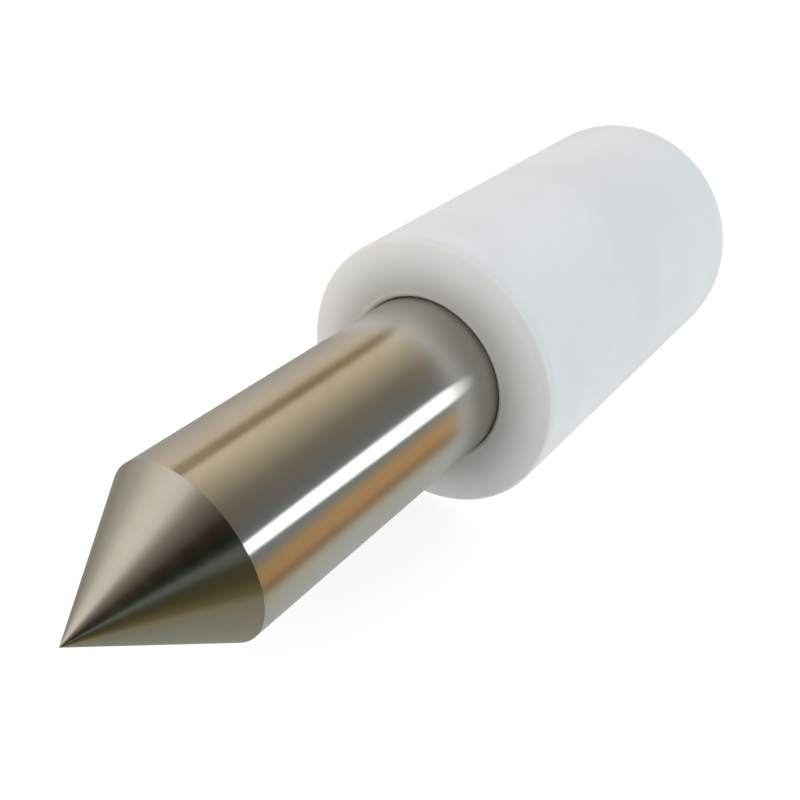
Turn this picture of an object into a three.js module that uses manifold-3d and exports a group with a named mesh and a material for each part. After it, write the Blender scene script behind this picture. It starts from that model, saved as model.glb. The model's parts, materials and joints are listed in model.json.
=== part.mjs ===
// Live center with a plastic body. A hardened steel spindle ends in a conical point and turns on two
// deep groove ball bearings, and a ball thrust bearing carries the load along its axis.
// Millimetres. The axis is +X, from the centre of the rear mounting face to the tip of the point.
import * as THREE from "three";
import { mergeVertices } from "three/addons/utils/BufferGeometryUtils.js";
import Module from "manifold-3d";

const wasm = await Module();
wasm.setup();

// ---- Sizes seen from outside
const HOUSING_RADIUS = 20;
const HOUSING_LENGTH = 60;
const HOUSING_EDGE = 0.5;
const MOUTH_EDGE = 0.5;
const NOSE_RADIUS = 12;
const NOSE_EXPOSED = 46;
const POINT_ANGLE = 70;
const POINT_LENGTH = NOSE_RADIUS / Math.tan(THREE.MathUtils.degToRad(POINT_ANGLE / 2));

// ---- Clearances
const FIT_GAP = 0.1;
const SEAT_GAP = 0.05;
const RACE_GAP = 0.15;
const RUNNING_GAP = 0.1;

// ---- Deep groove ball bearing 6002
const BEARING_BORE_RADIUS = 7.5;
const BEARING_RADIUS = 16;
const BEARING_WIDTH = 9;
const BEARING_PITCH_RADIUS = 11.75;
const INNER_SHOULDER_RADIUS = 10.25;
const OUTER_SHOULDER_RADIUS = 13.25;
const RING_EDGE = 0.3;
const BALL_RADIUS = 2.381;
const BEARING_BALLS = 9;
const SHIELD_RECESS_RADIUS = 14.1;
const SHIELD_RECESS_DEPTH = 1.2;
const SHIELD_INSET = 0.4;
const SHIELD_THICKNESS = 0.35;
const SHIELD_RIM = 0.4;
const SHIELD_CLEARANCE = 0.2;
const CROWN_INNER_RADIUS = 10.6;
const CROWN_OUTER_RADIUS = 12.9;
const CROWN_BACK = -3.3;
const CROWN_FRONT = 1.2;
const CROWN_VALLEY = -0.4;
const CROWN_VALLEY_WIDTH = 1.5;
const POCKET_RADIUS = 2.56;
const CUT_LENGTH = 6;
const VALLEY_CUT_DEPTH = 4;

// ---- Thrust ball bearing 51101
const THRUST_RADIUS = 13;
const THRUST_SHAFT_BORE_RADIUS = 6;
const THRUST_HOUSING_BORE_RADIUS = 7;
const THRUST_WASHER_THICKNESS = 3;
const THRUST_HEIGHT = 9;
const THRUST_PITCH_RADIUS = 9.5;
const THRUST_BALLS = 10;
const THRUST_CAGE_INNER_RADIUS = 6.5;
const THRUST_CAGE_OUTER_RADIUS = 12.6;
const THRUST_CAGE_THICKNESS = 1.8;

// ---- Rear plug
const PLUG_RADIUS = 16.6;
const PLUG_BASE = 12;
const PLUG_CUP_RADIUS = 13.5;
const PLUG_SEAT_RADIUS = 13.1;
const PLUG_EDGE = 0.5;
const THREAD_HOLE_RADIUS = 4.25;
const THREAD_HOLE_DEPTH = 8;
const THREAD_HOLE_CHAMFER = 0.65;
const DRILL_POINT_ANGLE = 118;
const PLUG_STOP_GAP = 0.5;
const SPANNER_HOLE_RADIUS = 1.75;
const SPANNER_HOLE_DEPTH = 5;
const SPANNER_PITCH_RADIUS = 12;

// ---- Front seal
const SEAL_POCKET_RADIUS = 14.4;
const FRONT_WALL = 2.6;
const SEAL_BACK_GAP = 0.8;
const SEAL_FRONT_GAP = 0.2;
const SEAL_RIM_THICKNESS = 0.9;
const SEAL_WEB_THICKNESS = 0.8;
const SEAL_LIP_EDGE = 0.3;
const SEAL_LIP_SET_BACK = 0.5;
const SEAL_LIP_LENGTH = 0.6;
const SEAL_LIP_THICKNESS = 0.6;

// ---- Where things lie along the axis
const THRUST_BACK = PLUG_BASE;
const THRUST_FRONT = THRUST_BACK + THRUST_HEIGHT;
const THRUST_MIDDLE = THRUST_BACK + THRUST_HEIGHT / 2;
const SPRING_SPACE = 3;
const REAR_BEARING_BACK = THRUST_FRONT + SPRING_SPACE;
const REAR_BEARING_FRONT = REAR_BEARING_BACK + BEARING_WIDTH;
const REAR_BEARING_MIDDLE = REAR_BEARING_BACK + BEARING_WIDTH / 2;
const SPACER_LENGTH = 12;
const FRONT_BEARING_BACK = REAR_BEARING_FRONT + SPACER_LENGTH;
const FRONT_BEARING_FRONT = FRONT_BEARING_BACK + BEARING_WIDTH;
const FRONT_BEARING_MIDDLE = FRONT_BEARING_BACK + BEARING_WIDTH / 2;
const SPACER_RADIUS = 9.5;
const COLLAR_LENGTH = 0.6;
const COLLAR_RADIUS = 9.4;
const NOSE_BACK = FRONT_BEARING_FRONT + SEAT_GAP + COLLAR_LENGTH;
const NOSE_FRONT = HOUSING_LENGTH + NOSE_EXPOSED;
const TIP = NOSE_FRONT + POINT_LENGTH;
const TAIL_GAP = 0.6;
const TAIL_BACK = PLUG_BASE + TAIL_GAP;
const TAIL_EDGE = 0.5;
const CENTRE_HOLE_RADIUS = 1.5;
const CENTRE_HOLE_ANGLE = 60;
const CENTRE_HOLE_DEPTH = CENTRE_HOLE_RADIUS / Math.tan(THREE.MathUtils.degToRad(CENTRE_HOLE_ANGLE / 2));

// ---- Circlip for a 15 mm shaft
const CIRCLIP_THICKNESS = 1;
const CIRCLIP_GROOVE_RADIUS = 7.15;
const CIRCLIP_GROOVE_BACK = REAR_BEARING_BACK - CIRCLIP_THICKNESS - 2 * SEAT_GAP;
const CIRCLIP_INNER_RADIUS = CIRCLIP_GROOVE_RADIUS + FIT_GAP;
const CIRCLIP_OUTER_RADIUS = 9;
const CIRCLIP_OFFSET = 0.45;
const CIRCLIP_LUG_RADIUS = 10.2;
const CIRCLIP_LUG_HOLE = 0.85;
const CIRCLIP_LUG_HOLE_ANGLE = 18;
const CIRCLIP_LUG_CORNERS = [[-0.4, 8], [0, 11], [0, 24]];
const CIRCLIP_INNER_ARC = { start: 9, steps: 18 };
const CIRCLIP_OUTER_ARC = { start: 30, steps: 15 };

// ---- Wave washer that preloads the rear bearing
const WAVE_INNER_RADIUS = 14.1;
const WAVE_OUTER_RADIUS = 15.8;
const WAVE_THICKNESS = 0.4;
const WAVE_COUNT = 3;

// ---- Number of flats round a full turn
const OUTSIDE_FLATS = 48;
const INSIDE_FLATS = 32;
const BALL_FLATS = 8;
const BALL_BANDS = 6;
const HOLE_FLATS = 12;
const GROOVE_STEPS = 4;
const CROWN_FLATS = 4 * BEARING_BALLS;
const THRUST_CAGE_FLATS = 3 * THRUST_BALLS;
const WAVE_FLATS = 12 * WAVE_COUNT;
const HOLE_CURVE_FLATS = 5;
const SEAM = 1e-4;

// Joins the seam of a surface and leaves out the empty triangles on its axis.
function closed(geometry) {
  geometry.deleteAttribute("normal");
  geometry.deleteAttribute("uv");
  const merged = mergeVertices(geometry, SEAM);
  const kept = [];
  const corners = merged.index.array;
  for (let i = 0; i < corners.length; i += 3) {
    const [a, b, c] = [corners[i], corners[i + 1], corners[i + 2]];
    if (a !== b && b !== c && c !== a) {
      kept.push(a, b, c);
    }
  }
  merged.setIndex(kept);
  return merged;
}

// Revolves an outline of [x, radius] corners about the X axis. It starts and ends on the axis.
function turned(outline, flats) {
  const corners = outline.map(([x, radius]) => new THREE.Vector2(radius, x));
  const geometry = new THREE.LatheGeometry(corners, flats);
  geometry.rotateZ(-Math.PI / 2);
  return closed(geometry);
}

// Revolves a closed outline of [x, radius] corners that stays clear of the axis.
function ring(outline, flats) {
  return turned([...outline, outline[0]], flats);
}

// Turns an outline end for end about a plane across the axis, and keeps it facing outwards.
function mirrored(outline, middle) {
  return outline.map(([x, radius]) => [2 * middle - x, radius]).reverse();
}

function solid(geometry) {
  const mesh = new wasm.Mesh({
    numProp: 3,
    vertProperties: new Float32Array(geometry.attributes.position.array),
    triVerts: new Uint32Array(geometry.index.array),
  });
  return new wasm.Manifold(mesh);
}

function cut(geometry, tools) {
  let left = solid(geometry);
  for (const tool of tools) {
    left = left.subtract(solid(closed(tool)));
  }
  const mesh = left.getMesh();
  const result = new THREE.BufferGeometry();
  result.setAttribute("position", new THREE.BufferAttribute(new Float32Array(mesh.vertProperties), 3));
  result.setIndex(new THREE.BufferAttribute(new Uint32Array(mesh.triVerts), 1));
  return result;
}

// Corners of a raceway in the section plane, round a ball centred at [x, radius], from one angle to another.
function raceway(x, radius, from, to) {
  const corners = [];
  for (let i = 0; i <= GROOVE_STEPS; i += 1) {
    const angle = THREE.MathUtils.lerp(from, to, i / GROOVE_STEPS);
    const reach = BALL_RADIUS + RACE_GAP;
    corners.push([x + reach * Math.cos(angle), radius + reach * Math.sin(angle)]);
  }
  return corners;
}

// Places a shape at a radius and an angle about the axis, with its own +Z pointing outwards.
function around(geometry, x, radius, angle) {
  geometry.translate(0, 0, radius);
  geometry.rotateX(angle);
  geometry.translate(x, 0, 0);
  return geometry;
}

function fractionsOfTurn(count, offset = 0) {
  return Array.from({ length: count }, (_, i) => ((i + offset) * 2 * Math.PI) / count);
}

const steel = { color: 0xb9b3a8, roughness: 0.16, metalness: 1 };
const whitePlastic = { color: 0xe3e0dc, roughness: 0.42, metalness: 0 };
const bearingSteel = { color: 0xb6b8ba, roughness: 0.22, metalness: 1 };
const ballSteel = { color: 0xcaccce, roughness: 0.08, metalness: 1 };
const shieldSteel = { color: 0x9da0a3, roughness: 0.36, metalness: 1 };
const cagePolymer = { color: 0xc8bb98, roughness: 0.55, metalness: 0 };
const cageSteel = { color: 0x93908a, roughness: 0.4, metalness: 1 };
const plugSteel = { color: 0xa6a8aa, roughness: 0.3, metalness: 1 };
const springSteel = { color: 0x6d6a66, roughness: 0.38, metalness: 1 };
const darkSpringSteel = { color: 0x3c3936, roughness: 0.46, metalness: 1 };
const rubber = { color: 0x1b1b1d, roughness: 0.72, metalness: 0 };

const part = new THREE.Group();
part.name = "live_center";

function add(name, geometry, looks) {
  const mesh = new THREE.Mesh(geometry, new THREE.MeshStandardMaterial(looks));
  mesh.name = name;
  mesh.material.name = `${name}_material`;
  part.add(mesh);
}

// The white body: a plain cylinder, bored for the bearings, open behind and walled in front.
function housing() {
  const bore = BEARING_RADIUS + FIT_GAP;
  const plugBore = PLUG_RADIUS + FIT_GAP;
  const mouth = NOSE_RADIUS + RUNNING_GAP;
  const wallBack = HOUSING_LENGTH - FRONT_WALL;
  const seat = FRONT_BEARING_FRONT + SEAT_GAP;
  return ring([
    [0, plugBore],
    [0, HOUSING_RADIUS - HOUSING_EDGE],
    [HOUSING_EDGE, HOUSING_RADIUS],
    [HOUSING_LENGTH - HOUSING_EDGE, HOUSING_RADIUS],
    [HOUSING_LENGTH, HOUSING_RADIUS - HOUSING_EDGE],
    [HOUSING_LENGTH, mouth + MOUTH_EDGE],
    [HOUSING_LENGTH - MOUTH_EDGE, mouth],
    [wallBack, mouth],
    [wallBack, SEAL_POCKET_RADIUS],
    [seat, SEAL_POCKET_RADIUS],
    [seat, bore],
    [THRUST_FRONT + PLUG_STOP_GAP, bore],
    [THRUST_FRONT + PLUG_STOP_GAP, plugBore],
  ], OUTSIDE_FLATS);
}

// The rotating spindle: a tail in the thrust bearing, a journal for both ball bearings, then the nose.
function spindle() {
  const tail = THRUST_SHAFT_BORE_RADIUS;
  const journal = BEARING_BORE_RADIUS;
  const groove = CIRCLIP_GROOVE_RADIUS;
  const shoulder = THRUST_FRONT + SEAT_GAP;
  const collar = FRONT_BEARING_FRONT + SEAT_GAP;
  return turned([
    [TAIL_BACK + CENTRE_HOLE_DEPTH, 0],
    [TAIL_BACK, CENTRE_HOLE_RADIUS],
    [TAIL_BACK, tail - TAIL_EDGE],
    [TAIL_BACK + TAIL_EDGE, tail],
    [shoulder, tail],
    [shoulder, journal],
    [CIRCLIP_GROOVE_BACK, journal],
    [CIRCLIP_GROOVE_BACK, groove],
    [REAR_BEARING_BACK, groove],
    [REAR_BEARING_BACK, journal],
    [collar, journal],
    [collar, COLLAR_RADIUS],
    [NOSE_BACK, COLLAR_RADIUS],
    [NOSE_BACK, NOSE_RADIUS],
    [NOSE_FRONT, NOSE_RADIUS],
    [TIP, 0],
  ], OUTSIDE_FLATS);
}

// A lip seal: a rim in the housing's pocket, a web across it and a lip that rides on the nose.
function frontSeal() {
  const rim = SEAL_POCKET_RADIUS - FIT_GAP;
  const lip = NOSE_RADIUS + RACE_GAP;
  const back = FRONT_BEARING_FRONT + SEAL_BACK_GAP;
  const front = HOUSING_LENGTH - FRONT_WALL - SEAL_FRONT_GAP;
  const web = front - SEAL_WEB_THICKNESS;
  const lipBack = back + SEAL_LIP_LENGTH;
  return ring([
    [back, rim - SEAL_RIM_THICKNESS],
    [back, rim],
    [front, rim],
    [front, lip + SEAL_LIP_EDGE],
    [front - SEAL_LIP_SET_BACK, lip],
    [lipBack, lip + SEAL_LIP_EDGE / 2],
    [lipBack + SEAL_FRONT_GAP, lip + SEAL_LIP_THICKNESS],
    [web, lip + SEAL_LIP_THICKNESS + FIT_GAP],
    [web, rim - SEAL_RIM_THICKNESS],
  ], INSIDE_FLATS);
}

// The steel plug in the housing's rear: a cup for the thrust bearing, with a blind M10 hole behind.
function rearPlug() {
  const drillSlope = Math.tan(THREE.MathUtils.degToRad(DRILL_POINT_ANGLE / 2));
  const drillTip = THREAD_HOLE_DEPTH + THREAD_HOLE_RADIUS / drillSlope;
  const seatFront = THRUST_BACK + THRUST_WASHER_THICKNESS + FIT_GAP;
  const body = turned([
    [drillTip, 0],
    [THREAD_HOLE_DEPTH, THREAD_HOLE_RADIUS],
    [THREAD_HOLE_CHAMFER, THREAD_HOLE_RADIUS],
    [0, THREAD_HOLE_RADIUS + THREAD_HOLE_CHAMFER],
    [0, PLUG_RADIUS - PLUG_EDGE],
    [PLUG_EDGE, PLUG_RADIUS],
    [THRUST_FRONT, PLUG_RADIUS],
    [THRUST_FRONT, PLUG_CUP_RADIUS],
    [seatFront, PLUG_CUP_RADIUS],
    [seatFront, PLUG_SEAT_RADIUS],
    [PLUG_BASE - SEAT_GAP, PLUG_SEAT_RADIUS],
    [PLUG_BASE - SEAT_GAP, 0],
  ], OUTSIDE_FLATS);
  const holes = [-1, 1].map((side) => {
    const hole = new THREE.CylinderGeometry(
      SPANNER_HOLE_RADIUS, SPANNER_HOLE_RADIUS, 2 * SPANNER_HOLE_DEPTH, HOLE_FLATS);
    hole.rotateZ(Math.PI / 2);
    hole.translate(0, side * SPANNER_PITCH_RADIUS, 0);
    return hole;
  });
  return cut(body, holes);
}

function outerRing(middle) {
  const half = BEARING_WIDTH / 2;
  const ledge = half - SHIELD_RECESS_DEPTH;
  const rise = Math.asin((OUTER_SHOULDER_RADIUS - BEARING_PITCH_RADIUS) / (BALL_RADIUS + RACE_GAP));
  return ring([
    [middle - half, SHIELD_RECESS_RADIUS],
    [middle - half, BEARING_RADIUS - RING_EDGE],
    [middle - half + RING_EDGE, BEARING_RADIUS],
    [middle + half - RING_EDGE, BEARING_RADIUS],
    [middle + half, BEARING_RADIUS - RING_EDGE],
    [middle + half, SHIELD_RECESS_RADIUS],
    [middle + ledge, SHIELD_RECESS_RADIUS],
    [middle + ledge, OUTER_SHOULDER_RADIUS],
    ...raceway(middle, BEARING_PITCH_RADIUS, rise, Math.PI - rise),
    [middle - ledge, OUTER_SHOULDER_RADIUS],
    [middle - ledge, SHIELD_RECESS_RADIUS],
  ], INSIDE_FLATS);
}

function innerRing(middle) {
  const half = BEARING_WIDTH / 2;
  const bore = BEARING_BORE_RADIUS + FIT_GAP;
  const drop = Math.asin((BEARING_PITCH_RADIUS - INNER_SHOULDER_RADIUS) / (BALL_RADIUS + RACE_GAP));
  return ring([
    [middle - half, bore + RING_EDGE],
    [middle - half, INNER_SHOULDER_RADIUS],
    ...raceway(middle, BEARING_PITCH_RADIUS, Math.PI + drop, 2 * Math.PI - drop),
    [middle + half, INNER_SHOULDER_RADIUS],
    [middle + half, bore + RING_EDGE],
    [middle + half - RING_EDGE, bore],
    [middle - half + RING_EDGE, bore],
  ], INSIDE_FLATS);
}

// A pressed shield: its rim sits in the outer ring's recess, its disc ends just clear of the inner ring.
function shield(middle, side) {
  const outer = SHIELD_RECESS_RADIUS - FIT_GAP;
  const face = middle + BEARING_WIDTH / 2 - SHIELD_INSET;
  const disc = face - SHIELD_THICKNESS;
  const rimBack = middle + BEARING_WIDTH / 2 - SHIELD_RECESS_DEPTH + SEAT_GAP;
  const outline = [
    [disc, INNER_SHOULDER_RADIUS + SHIELD_CLEARANCE],
    [disc, outer - SHIELD_RIM],
    [rimBack, outer - SHIELD_RIM],
    [rimBack, outer],
    [face, outer],
    [face, INNER_SHOULDER_RADIUS + SHIELD_CLEARANCE],
  ];
  return ring(side > 0 ? outline : mirrored(outline, middle), INSIDE_FLATS);
}

// A snap-in crown cage: open pockets with horns, and a valley between each pair of pockets.
function crownCage(middle) {
  const body = ring([
    [middle + CROWN_BACK, CROWN_INNER_RADIUS],
    [middle + CROWN_BACK, CROWN_OUTER_RADIUS],
    [middle + CROWN_FRONT, CROWN_OUTER_RADIUS],
    [middle + CROWN_FRONT, CROWN_INNER_RADIUS],
  ], CROWN_FLATS);
  const tools = [];
  for (const angle of fractionsOfTurn(BEARING_BALLS)) {
    const pocket = new THREE.CylinderGeometry(POCKET_RADIUS, POCKET_RADIUS, CUT_LENGTH, HOLE_FLATS);
    pocket.rotateX(Math.PI / 2);
    tools.push(around(pocket, middle, BEARING_PITCH_RADIUS, angle));
  }
  for (const angle of fractionsOfTurn(BEARING_BALLS, 0.5)) {
    const valley = new THREE.BoxGeometry(VALLEY_CUT_DEPTH, CROWN_VALLEY_WIDTH, CUT_LENGTH);
    valley.translate(CROWN_VALLEY + VALLEY_CUT_DEPTH / 2, 0, 0);
    tools.push(around(valley, middle, BEARING_PITCH_RADIUS, angle));
  }
  return cut(body, tools);
}

function ball(middle, pitchRadius, angle) {
  const geometry = new THREE.SphereGeometry(BALL_RADIUS, BALL_FLATS, BALL_BANDS);
  return closed(around(geometry, middle, pitchRadius, angle));
}

function bearing(name, middle) {
  add(`${name}_bearing_outer_ring`, outerRing(middle), bearingSteel);
  add(`${name}_bearing_inner_ring`, innerRing(middle), bearingSteel);
  add(`${name}_bearing_shield_back`, shield(middle, -1), shieldSteel);
  add(`${name}_bearing_shield_front`, shield(middle, 1), shieldSteel);
  add(`${name}_bearing_cage`, crownCage(middle), cagePolymer);
  fractionsOfTurn(BEARING_BALLS).forEach((angle, i) => {
    add(`${name}_bearing_ball_${i + 1}`, ball(middle, BEARING_PITCH_RADIUS, angle), ballSteel);
  });
}

// A thrust washer with its raceway facing the balls. The shaft washer is the same shape turned round.
function thrustWasher(bore, side) {
  const back = THRUST_BACK;
  const face = THRUST_BACK + THRUST_WASHER_THICKNESS;
  const lean = Math.acos((THRUST_MIDDLE - face) / (BALL_RADIUS + RACE_GAP));
  const outline = [
    [back, bore + RING_EDGE],
    [back, THRUST_RADIUS - RING_EDGE],
    [back + RING_EDGE, THRUST_RADIUS],
    [face, THRUST_RADIUS],
    ...raceway(THRUST_MIDDLE, THRUST_PITCH_RADIUS, Math.PI - lean, Math.PI + lean),
    [face, bore],
    [back + RING_EDGE, bore],
  ];
  return ring(side > 0 ? mirrored(outline, THRUST_MIDDLE) : outline, INSIDE_FLATS);
}

function thrustCage() {
  const half = THRUST_CAGE_THICKNESS / 2;
  const body = ring([
    [THRUST_MIDDLE - half, THRUST_CAGE_INNER_RADIUS],
    [THRUST_MIDDLE - half, THRUST_CAGE_OUTER_RADIUS],
    [THRUST_MIDDLE + half, THRUST_CAGE_OUTER_RADIUS],
    [THRUST_MIDDLE + half, THRUST_CAGE_INNER_RADIUS],
  ], THRUST_CAGE_FLATS);
  const pockets = fractionsOfTurn(THRUST_BALLS).map((angle) => {
    const pocket = new THREE.CylinderGeometry(POCKET_RADIUS, POCKET_RADIUS, CUT_LENGTH, HOLE_FLATS);
    pocket.rotateZ(Math.PI / 2);
    return around(pocket, THRUST_MIDDLE, THRUST_PITCH_RADIUS, angle);
  });
  return cut(body, pockets);
}

function thrustBearing() {
  const housingBore = THRUST_HOUSING_BORE_RADIUS;
  const shaftBore = THRUST_SHAFT_BORE_RADIUS + FIT_GAP;
  add("thrust_bearing_housing_washer", thrustWasher(housingBore, -1), bearingSteel);
  add("thrust_bearing_shaft_washer", thrustWasher(shaftBore, 1), bearingSteel);
  add("thrust_bearing_cage", thrustCage(), cageSteel);
  fractionsOfTurn(THRUST_BALLS).forEach((angle, i) => {
    add(`thrust_bearing_ball_${i + 1}`, ball(THRUST_MIDDLE, THRUST_PITCH_RADIUS, angle), ballSteel);
  });
}

function spacerSleeve() {
  const back = REAR_BEARING_FRONT + SEAT_GAP;
  const front = FRONT_BEARING_BACK - SEAT_GAP;
  const bore = BEARING_BORE_RADIUS + FIT_GAP;
  const outer = SPACER_RADIUS;
  return ring([
    [back, bore],
    [back, outer - RING_EDGE],
    [back + RING_EDGE, outer],
    [front - RING_EDGE, outer],
    [front, outer - RING_EDGE],
    [front, bore],
  ], INSIDE_FLATS);
}

// A circlip: widest opposite its gap, with a holed lug on each side of the gap.
function shaftCirclip() {
  const radians = THREE.MathUtils.degToRad;
  const at = (radius, degrees) => new THREE.Vector2(
    radius * Math.cos(radians(degrees)), radius * Math.sin(radians(degrees)));
  const outerAt = (degrees) => {
    const away = radians(degrees);
    const offset = CIRCLIP_OFFSET;
    const reach = Math.sqrt(CIRCLIP_OUTER_RADIUS ** 2 - (offset * Math.sin(away)) ** 2);
    return at(reach - offset * Math.cos(away), degrees);
  };
  const corners = [];
  const innerStep = (360 - 2 * CIRCLIP_INNER_ARC.start) / CIRCLIP_INNER_ARC.steps;
  for (let i = 0; i <= CIRCLIP_INNER_ARC.steps; i += 1) {
    corners.push(at(CIRCLIP_INNER_RADIUS, 360 - CIRCLIP_INNER_ARC.start - innerStep * i));
  }
  for (const [step, degrees] of CIRCLIP_LUG_CORNERS) {
    corners.push(at(CIRCLIP_LUG_RADIUS + step, degrees));
  }
  const outerStep = (360 - 2 * CIRCLIP_OUTER_ARC.start) / CIRCLIP_OUTER_ARC.steps;
  for (let i = 0; i <= CIRCLIP_OUTER_ARC.steps; i += 1) {
    corners.push(outerAt(CIRCLIP_OUTER_ARC.start + outerStep * i));
  }
  for (const [step, degrees] of CIRCLIP_LUG_CORNERS.toReversed()) {
    corners.push(at(CIRCLIP_LUG_RADIUS + step, 360 - degrees));
  }
  const outline = new THREE.Shape(corners);
  for (const degrees of [CIRCLIP_LUG_HOLE_ANGLE, 360 - CIRCLIP_LUG_HOLE_ANGLE]) {
    const centre = at((CIRCLIP_INNER_RADIUS + CIRCLIP_LUG_RADIUS) / 2, degrees);
    const hole = new THREE.Path();
    hole.absarc(centre.x, centre.y, CIRCLIP_LUG_HOLE, 0, 2 * Math.PI, true);
    outline.holes.push(hole);
  }
  const geometry = new THREE.ExtrudeGeometry(outline, {
    depth: CIRCLIP_THICKNESS,
    bevelEnabled: false,
    curveSegments: HOLE_CURVE_FLATS,
  });
  const turn = new THREE.Matrix4().makeBasis(
    new THREE.Vector3(0, 1, 0), new THREE.Vector3(0, 0, 1), new THREE.Vector3(1, 0, 0));
  geometry.applyMatrix4(turn);
  geometry.translate(CIRCLIP_GROOVE_BACK + SEAT_GAP, 0, 0);
  return closed(geometry);
}

// A flat ring bent into waves along the axis. It bears on the plug's rim and on the rear outer ring.
function waveWasher() {
  const middle = THRUST_FRONT + SPRING_SPACE / 2;
  const swing = (SPRING_SPACE - WAVE_THICKNESS) / 2 - SEAT_GAP;
  const half = WAVE_THICKNESS / 2;
  const positions = [];
  const triangles = [];
  for (const angle of fractionsOfTurn(WAVE_FLATS)) {
    const x = middle + swing * Math.cos(WAVE_COUNT * angle);
    const section = [
      [x - half, WAVE_INNER_RADIUS],
      [x - half, WAVE_OUTER_RADIUS],
      [x + half, WAVE_OUTER_RADIUS],
      [x + half, WAVE_INNER_RADIUS],
    ];
    for (const [along, radius] of section) {
      positions.push(along, -radius * Math.sin(angle), radius * Math.cos(angle));
    }
  }
  for (let i = 0; i < WAVE_FLATS; i += 1) {
    const here = 4 * i;
    const next = 4 * ((i + 1) % WAVE_FLATS);
    for (let j = 0; j < 4; j += 1) {
      const k = (j + 1) % 4;
      triangles.push(here + j, next + j, next + k);
      triangles.push(here + j, next + k, here + k);
    }
  }
  const geometry = new THREE.BufferGeometry();
  geometry.setAttribute("position", new THREE.Float32BufferAttribute(positions, 3));
  geometry.setIndex(triangles);
  return geometry;
}

add("housing", housing(), whitePlastic);
add("spindle", spindle(), steel);
add("front_seal", frontSeal(), rubber);
bearing("front", FRONT_BEARING_MIDDLE);
add("spacer_sleeve", spacerSleeve(), plugSteel);
bearing("rear", REAR_BEARING_MIDDLE);
add("shaft_circlip", shaftCirclip(), darkSpringSteel);
add("preload_wave_washer", waveWasher(), springSteel);
thrustBearing();
add("rear_plug", rearPlug(), plugSteel);

export default part;
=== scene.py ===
import json
import math

import bmesh
import bpy
import numpy as np
from mathutils import Matrix, Vector


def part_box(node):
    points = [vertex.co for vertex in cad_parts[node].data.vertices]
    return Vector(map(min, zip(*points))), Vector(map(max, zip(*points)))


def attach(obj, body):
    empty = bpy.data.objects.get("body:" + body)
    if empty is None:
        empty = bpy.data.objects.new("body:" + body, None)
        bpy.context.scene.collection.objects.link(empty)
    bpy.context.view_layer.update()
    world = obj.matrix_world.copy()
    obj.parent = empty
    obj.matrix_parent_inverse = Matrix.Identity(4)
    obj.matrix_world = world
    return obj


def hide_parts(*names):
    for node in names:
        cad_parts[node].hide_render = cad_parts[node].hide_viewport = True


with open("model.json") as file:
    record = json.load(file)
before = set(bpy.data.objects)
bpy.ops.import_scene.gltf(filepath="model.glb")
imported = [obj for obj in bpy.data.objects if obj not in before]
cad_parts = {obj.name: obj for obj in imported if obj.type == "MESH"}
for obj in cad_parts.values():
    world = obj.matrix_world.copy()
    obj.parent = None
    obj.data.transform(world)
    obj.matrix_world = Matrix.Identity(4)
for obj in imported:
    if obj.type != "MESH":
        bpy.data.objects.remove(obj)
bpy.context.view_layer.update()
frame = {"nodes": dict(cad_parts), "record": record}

nodes = frame["nodes"]
body_of_node = {n: b for b, ns in frame["record"]["behaviour"]["bodies"].items() for n in ns}
slot_of_node = {s["node"]: s["material_slot"] for s in frame["record"]["subparts"]}
scene = bpy.context.scene

MM = 0.001
TURN = 2 * math.pi

# Distances within which two places count as one
SAME_PLACE = 1e-6
ON_PLANE = 2e-6
ON_AXIS = 1e-7

# Radii of the rounded edges
HOUSING_EDGE = 0.25 * MM
HOUSING_FRONT_EDGE = 0.75 * MM
TURNED_EDGE = 0.15 * MM
CONE_SHOULDER_EDGE = 0.1 * MM
RING_EDGE = 0.2 * MM
SHIELD_EDGE = 0.12 * MM
CIRCLIP_EDGE = 0.07 * MM
WASHER_EDGE = 0.1 * MM
LEAST_BEND = math.radians(25)
LARGEST_SHARE = 0.45
EDGE_STEPS = 4

# How finely round stretches are divided
COARSE_STEP = 3 * MM
THREAD_STEP = 0.1 * MM
GROOVE_POINTS = 17
SHARP_ANGLE = 32
MOULDED_SHARP_ANGLE = 80

# Rear plug
THREAD_PITCH = 1.5 * MM
THREAD_DEPTH = 0.72 * MM
THREAD_LEAD_IN = 0.6 * MM
THREAD_RUN_OUT = (0.5 * MM, 1.3 * MM)
SPANNER_HOLE_EDGE = 0.3 * MM

# Bearings. The voxel sizes are in millimetres.
SHIELD_PRESSING = 0.12 * MM
SHIELD_CHANNEL = ((0.18, 0), (0.26, 1), (0.56, 1), (0.64, 0))
CROWN_POCKET_GAP = 0.12 * MM
CROWN_VALLEY = -0.4 * MM
CROWN_VALLEY_RADIUS = 0.75 * MM
CROWN_VOXEL = 0.18
THRUST_POCKET_GAP = 0.13 * MM
THRUST_CAGE_RIM = 0.42 * MM
THRUST_CAGE_DISH = 0.4 * MM
THRUST_CAGE_VOXEL = 0.14

# Circlip and wave washer. The angles are in degrees from the middle of the circlip's gap.
CIRCLIP_GAP = 9
CIRCLIP_LUG = (10, 26)
CIRCLIP_LUG_HOLE = 0.85 * MM
CIRCLIP_NARROW = 8.55 * MM
WASHER_THICKNESS = 0.4 * MM
WASHER_WAVES = 3

# How far a cutter reaches past what it cuts
OVERSHOOT = 1 * MM

# Studio, in metres and watts
FLOOR_HALF = 4.0
FLOOR_GAP = 0.02 * MM
LAMP_PLACE = (0.75, -0.15, 0.35)
LAMP_AIM = (0.06, 0, 0)
LAMP_WIDTH = 0.35
LAMP_POWER = 1.0

# Camera: its place from the middle of the rear face, in millimetres, and the way it looks
CAMERA_PLACE = (148.5, 55.6, 66.5)
CAMERA_LOOK = (-0.5777, -0.4762, -0.6629)
CAMERA_LENS = 38.556
CAMERA_SENSOR = 36
CAMERA_SHIFT = (0.09, 0.1417)


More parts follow.
